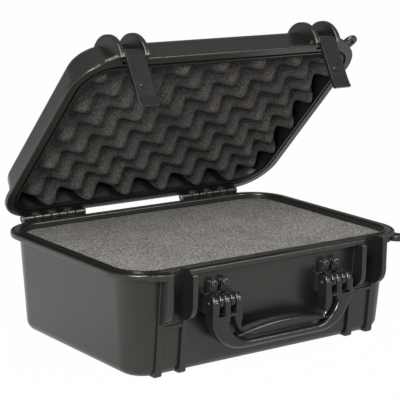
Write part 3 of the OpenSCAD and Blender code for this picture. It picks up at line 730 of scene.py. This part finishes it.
# ---- Catches -----------------------------------------------------------------
# A hard block set flush into the rim behind each pocket, with a small moulded
# hole in its face; the latch's hook comes up under it.
for s, side in ((-1, "left"), (1, "right")):
    catch = block(s * pocket_x - 5.5, s * pocket_x + 5.5, catch_y, catch_y + 2.4,
                  rim_under + 0.6, rim_under + 5.4, 0.3)
    shape(catch, "DIFFERENCE", [rod("Y", catch_y - 1, catch_y + 1.8,
                                    (s * pocket_x, rim_under + 3.2), 1.2, 32)])
    finish_mesh(catch)
    put_in_place(catch, "catch_block_" + side, smooth_plastic, "base", "gloss_plastic",
                 "catch_" + side)


# ---- Handle brackets ---------------------------------------------------------
# Each is a moulded plate on the front wall with two knuckles for the handle's
# pin.  A rib runs from each screw's seat down to the knuckle below it.
plate_face = pad_face - 3.0

for s, side in ((-1, "left"), (1, "right")):
    middle = s * handle_x
    bracket, *ribs = bracket_slab(s, plate_face, pad_face)
    bores = [rod("X", middle - 12, middle + 12, (pivot_y, pivot_z), 2.52, 32)]
    for x in (middle - tab_offset, middle + tab_offset):
        ribs.append(rod("X", x - 2.9, x + 2.9, (pivot_y, pivot_z), barrel, 64, 2.0))
        ribs.append(plate([(pivot_y, pivot_z - barrel), (pivot_y, pivot_z + barrel),
                           (plate_face + 1, pivot_z + 9.8), (plate_face + 1, pivot_z - barrel)],
                          "X", x - 2.9, x + 2.9, 2.0))
        bores.append(rod("Y", plate_face - 2, pad_face + 2, (x, screw_z), screw_hole, 24))
    shape(bracket, "UNION", ribs)
    shape(bracket, "DIFFERENCE", bores)
    finish_mesh(bracket)
    put_in_place(bracket, "handle_bracket_moulded_" + side, smooth_plastic, "base",
                 "gloss_plastic", "handle_bracket_" + side)


# ---- Bracket screws ----------------------------------------------------------
# Four dome-headed screws in black steel, with a hexagon recess in each head,
# hold the two brackets on the front wall.
screw_black = plastic_finish("screw_black", (0.020, 0.020, 0.022), (0.045, 0.045, 0.047),
                             0.24, 0.1, 2000.0, 0.00001, 0.7)
heads = []
for x in (-handle_x - tab_offset, -handle_x + tab_offset, handle_x - tab_offset,
          handle_x + tab_offset):
    dome = [(plate_face - 1.96 - 1.44 * math.sin(turn), 4.0 * math.cos(turn) ** 0.7)
            for turn in (math.radians(a) for a in (0, 15, 30, 45, 60, 72, 82))]
    head = loft("head", "Y", [(plate_face, bend((x, screw_z), 4.0, 0, 352.5, 47))]
                + [(y, bend((x, screw_z), r, 0, 352.5, 47)) for y, r in dome])
    shape(head, "UNION", [rod("Y", plate_face - 0.5, plate_face + 7.5, (x, screw_z), 1.8, 24)])
    shape(head, "DIFFERENCE", [rod("Y", plate_face - 5, plate_face - 1.6, (x, screw_z), 1.5, 6)])
    heads.append(head)
screws = heads[0]
shape(screws, "UNION", heads[1:])
finish_mesh(screws)
put_in_place(screws, "bracket_screws_domed", screw_black, "base", "screw_black",
             "bracket_screws")


# ---- Handle ------------------------------------------------------------------
# A hard, glossy U-shaped moulding that hangs from the two brackets.  A channel
# runs round inside its rim, and the grip bulges towards the hand.
low_z = -51.0
grip_low = low_z + 16.0


def u_shape(half, bottom, radius, top):
    """A U's outline in (x, z) about the pivot, from its right top corner."""
    line = [(half, top)] + bend((half - radius, bottom + radius), radius, 0, -90, 18)
    line += bend((radius - half, bottom + radius), radius, 270, 180, 18) + [(-half, top)]
    return [(x, pivot_z + z) for x, z in line]


def rounded_depth(front_round, back_round):
    """(depth, set-back) pairs from the handle's front to its back, with round edges."""
    edges = [[(way * (8 - radius * (1 - math.cos(turn))), radius * (1 - math.sin(turn)))
              for turn in (math.pi / 2 * k / 7 for k in range(8))]
             for way, radius in ((-1, front_round), (1, back_round))]
    return edges[0] + edges[1][::-1]


handle = loft("handle_moulded", "Y", [
    (pivot_y + y, u_shape(handle_half - back, low_z + back, 40.0 - back, -11.5 - back / 3))
    for y, back in rounded_depth(6.0, 3.0)])
opening = [(-20, 4.0)] + rounded_depth(4.0, 2.5) + [(20, 2.5)]
shape(handle, "DIFFERENCE", [loft("opening", "Y", [
    (pivot_y + y, u_shape(handle_half - arm + back, grip_low - back, 8.0 + back, 20))
    for y, back in opening])])
shape(handle, "DIFFERENCE", [loft("channel", "Y", [
    (pivot_y + y, u_shape(71.0 + flare, low_z + 8.5 - flare, 28.0 + flare, -16.2 + flare)
     + u_shape(63.0 - flare, low_z + 13.0 + flare, 22.0 - flare, -16.2 + flare)[::-1])
    for y, flare in [(-12, 3.2), (-8, 3.2), (-7.9, 2.4), (-7.6, 1.6), (-7.0, 0.8), (-6.2, 0.3),
                     (-5.2, 0), (0, 0)]])])
sections = []
for k in range(41):
    x = 59.0 * (2 * k / 40 - 1)
    swell = math.cos(math.pi / 2 * min(abs(x) / 57.0, 1.0)) ** 0.8
    top, foot = grip_low + 7.8 * swell, low_z + 13.4
    middle, tall = (top + foot) / 2, (top - foot) / 2
    sections.append((x, [
        (pivot_y + 0.6 + 8.2 * math.copysign(abs(math.cos(turn)) ** 0.75, math.cos(turn)),
         pivot_z + middle + tall * math.copysign(abs(math.sin(turn)) ** 0.75, math.sin(turn)))
        for turn in (math.radians(9 * k) for k in range(40))]))
shape(handle, "UNION", [loft("grip", "X", sections)])
fingers = []
for s in (-1, 1):
    for x0, x1 in ((-18.0, -10.2), (-3.6, 3.6), (10.2, 18.0)):
        x0, x1 = s * handle_x + x0, s * handle_x + x1
        fingers.append(rod("X", x0, x1, (pivot_y, pivot_z), barrel, 64, 2.4))
        fingers.append(block(x0, x1, pivot_y - 7.9, pivot_y + 7.9, pivot_z - 21, pivot_z + 2.4,
                             2.4))
shape(handle, "UNION", fingers)
shape(handle, "DIFFERENCE", [rod("X", -100, 100, (pivot_y, pivot_z), 2.56, 32)])
finish_mesh(handle)
put_in_place(handle, "handle_moulded", smooth_plastic, "handle", "gloss_plastic", "handle")


# ---- Pins --------------------------------------------------------------------
# Drawn steel pins, pressed into the mouldings: two for the hinge, one in each
# latch's barrel and one in each handle bracket.
steel = bpy.data.materials.new("pin_steel")
steel.use_nodes = True
tree = steel.node_tree
shader = tree.nodes["Principled BSDF"]
shader.inputs["Metallic"].default_value = 1.0
spots = tree.nodes.new("ShaderNodeTexCoord").outputs["Object"]
scuffs = noise_of(tree, 400.0, 4.0, spots, 0.6)
tree.links.new(blend_colours(tree, scuffs, (0.42, 0.42, 0.42, 1), (0.60, 0.60, 0.59, 1)),
               shader.inputs["Base Color"])
tree.links.new(number(tree, "MULTIPLY_ADD", scuffs, 0.25, 0.2), shader.inputs["Roughness"])
for kind in ("hinge_pin", "latch_pin", "handle_pin"):
    for side in ("left", "right"):
        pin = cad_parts[kind + "_" + side]
        pin.data.materials.clear()
        pin.data.materials.append(steel)


# ---- Foam --------------------------------------------------------------------
# Open-celled polyurethane foam in charcoal grey: a floor pad and two blocks
# cut to the base, their faces a little uneven from the knife.
foam_clearance = 0.4
foam_top = seam - 4.8
pad_top = wall + 10.0
foam_split = (pad_top + foam_top) / 2

cells, c_in, c_out = group_of(
    "foam_cells",
    [("Colour", "NodeSocketColor", (0.15, 0.15, 0.14, 1)),
     ("Dark Colour", "NodeSocketColor", (0.05, 0.05, 0.05, 1)),
     ("Cell Scale", "NodeSocketFloat", 700.0)],
    [("Color", "NodeSocketColor"), ("Height", "NodeSocketFloat")])
place = cells.nodes.new("ShaderNodeTexCoord").outputs["Object"]
pores = cells.nodes.new("ShaderNodeTexVoronoi")
cells.links.new(c_in.outputs["Cell Scale"], pores.inputs["Scale"])
cells.links.new(place, pores.inputs["Vector"])
clumps = noise_of(cells, 560.0, 3.0, place, 0.6)
patches = noise_of(cells, 22.0, 3.0, place)
# painted shade in the pores: the colour darkens where this depth lowers the bump, mixed with the
# foam's own random tone
depth = number(cells, "MULTIPLY_ADD", number(cells, "SUBTRACT", clumps, 0.5), 1.4,
               pores.outputs["Distance"])
tone = number(cells, "MULTIPLY_ADD", number(cells, "SUBTRACT", patches, 0.5), 0.35, depth)
cells.links.new(
    blend_colours(cells, ramp(cells, tone, -0.15, 0.75, 0.0, 1.0), c_in.outputs["Colour"],
                  c_in.outputs["Dark Colour"]),
    c_out.inputs["Color"])
cells.links.new(number(cells, "SUBTRACT", 1.0, depth), c_out.inputs["Height"])


def foam_finish(name, colour, dark_colour, scale, depth):
    material = bpy.data.materials.new(name)
    material.use_nodes = True
    tree = material.node_tree
    shader = tree.nodes["Principled BSDF"]
    skin = tree.nodes.new("ShaderNodeGroup")
    skin.node_tree = cells
    skin.inputs["Colour"].default_value = (*colour, 1.0)
    skin.inputs["Dark Colour"].default_value = (*dark_colour, 1.0)
    skin.inputs["Cell Scale"].default_value = scale
    bump = tree.nodes.new("ShaderNodeBump")
    bump.inputs["Distance"].default_value = depth
    shader.inputs["Roughness"].default_value = 0.95
    shader.inputs["Specular IOR Level"].default_value = 0.12
    tree.links.new(skin.outputs["Color"], shader.inputs["Base Color"])
    tree.links.new(skin.outputs["Height"], bump.inputs["Height"])
    tree.links.new(bump.outputs["Normal"], shader.inputs["Normal"])
    return material


foam_grey = foam_finish("foam_grey", (0.440, 0.424, 0.390), (0.090, 0.086, 0.078), 700.0, 0.0005)
# painted shade, in part: the lid's foam gets a darker colour than the base's, for its place facing
# down under the open lid
foam_dark = foam_finish("foam_dark", (0.122, 0.115, 0.107), (0.034, 0.032, 0.030), 680.0, 0.0004)


def foam_body(name, half_x, half_y, radius, cells_x, cells_y, surface, levels):
    """A foam piece: a fine grid in a rounded rectangle at the heights surface(x, y),
    then walls through (outward step, height worked out from the grid's own) levels."""
    arc = [half_y - radius + radius * math.sin(math.radians(90 * k / 12)) for k in range(1, 13)]
    rows = [-y for y in reversed(arc)]
    rows += [(half_y - radius) * (2 * j / cells_y - 1) for j in range(cells_y + 1)] + arc
    verts, out, row = [], [], cells_x + 1
    for y in rows:
        over = max(abs(y) - (half_y - radius), 0.0)
        end = half_x - radius + math.sqrt(max(radius ** 2 - over ** 2, 0.0))
        for i in range(row):
            x = end * (2 * i / cells_x - 1)
            verts.append((x, y, surface(x, y)))
            cx = max(min(x, half_x - radius), radius - half_x)
            cy = max(min(y, half_y - radius), radius - half_y)
            out.append(Vector((x - cx, y - cy, 0)).normalized() if (x, y) != (cx, cy)
                       else Vector((0, 0, 0)))
    last = (len(rows) - 1) * row
    edge = list(range(row)) + list(range(2 * row - 1, last + row, row))
    edge += list(range(last + row - 2, last - 1, -1)) + list(range(last - row, 0, -row))
    faces = [(j * row + i, j * row + i + 1, (j + 1) * row + i + 1, (j + 1) * row + i)
             for j in range(len(rows) - 1) for i in range(cells_x)]
    ring = edge
    for step, height in levels:
        start = len(verts)
        for e in edge:
            x, y, z = verts[e]
            verts.append((x + out[e].x * step, y + out[e].y * step, height(z)))
        fresh = list(range(start, len(verts)))
        faces += [(ring[k], ring[(k + 1) % len(ring)], fresh[(k + 1) % len(ring)], fresh[k])
                  for k in range(len(ring))]
        ring = fresh
    faces.append(tuple(ring))
    return piece(name, verts, faces)


def foam_wall(z):
    return base_wall(z) + wall + foam_clearance


def uneven(x, y, z, swing, wave):
    """A small height from smooth noise, in millimetres."""
    return swing * noise.noise(Vector((x / wave, y / wave, z)))


def pocket_relief(s):
    return pocket_backs(s, foam_clearance)


edge_round = 1.6
top_inset = foam_wall(foam_top) + edge_round
upper = foam_body(
    "foam_block_upper_cut", case_length / 2 - top_inset, case_depth / 2 - top_inset,
    rim_radius - top_inset, 88, 44,
    lambda x, y: foam_top - 0.35 + uneven(x, y, 2.0, 0.5, 70) + uneven(x, y, 5.0, 0.18, 9),
    [(edge_round * math.sin(math.radians(a)),
      lambda z, a=a: z - edge_round * (1 - math.cos(math.radians(a)))) for a in (30, 60, 90)]
    + [(edge_round, lambda z: foam_top - 4),
       (edge_round + foam_wall(foam_top) - foam_wall(foam_split), lambda z: foam_split)])
shape(upper, "DIFFERENCE", both_sides(pocket_relief))
finish_mesh(upper)
put_in_place(upper, "foam_block_upper_cut", foam_grey, "base", "foam_base",
                       "foam_block_upper")

lower = moulding("foam_block_lower_cut",
                 [(foam_wall(pad_top), pad_top), (foam_wall(foam_split), foam_split)])
shape(lower, "DIFFERENCE", both_sides(pocket_relief))
finish_mesh(lower)
put_in_place(lower, "foam_block_lower_cut", foam_grey, "base", "foam_base",
                       "foam_block_lower")

pad_round = base_edge - wall
pad = moulding("foam_floor_pad_cut",
               bend((bottom_inset + wall + foam_clearance + pad_round, wall + pad_round),
                    pad_round, 270, 180, 6) + [(foam_wall(pad_top), pad_top)])
finish_mesh(pad)
put_in_place(pad, "foam_floor_pad_cut", foam_grey, "base", "foam_base",
                       "foam_floor_pad")


# ---- Egg-crate foam ----------------------------------------------------------
# One sheet of the same foam, cut into waves by rollers and glued by its flat
# back to the lid's ceiling.  Its darker colour is partly painted shade, for the
# sheet faces down under the open lid.  Its waves close up a little towards the
# right end.
crate_tip, crate_wave = foam_top + 3.0, 24.0
crate_half_x, crate_half_y, crate_corner, crate_edge = 161.0, 109.0, 25.0, 1.2
pitch_x, pitch_y = 49.0, 46.0


def crate_height(x, y):
    """The waves' height at a place of the lid, as the lid lies shut."""
    closing = min(max((x - 110) / 51, 0), 1)
    along = x - 1.5 + 11 * closing ** 2 * (3 - 2 * closing)
    across = math.cos(2 * math.pi * along / pitch_x) * math.cos(2 * math.pi * (y + 8) / pitch_y)
    swell = ((1 + math.copysign(abs(across) ** 0.85, across)) / 2) ** 1.1
    return crate_tip + 0.3 + crate_wave * (1 - swell) + uneven(x, y, 8.0, 0.5, 12)


crate = foam_body(
    "lid_foam_crate", crate_half_x - crate_edge, crate_half_y - crate_edge,
    crate_corner - crate_edge, 160, 84, crate_height,
    [(0.8, lambda z: z + 0.5), (crate_edge, lambda z: z + 1.4),
     (crate_edge, lambda z: ceiling - 9), (crate_edge - 9, lambda z: ceiling)])
for face in crate.data.polygons:
    face.use_smooth = True
crate.data.transform(lid_swing)
put_in_place(crate, "lid_foam_crate", foam_dark, "lid", "foam_lid", "lid_foam")
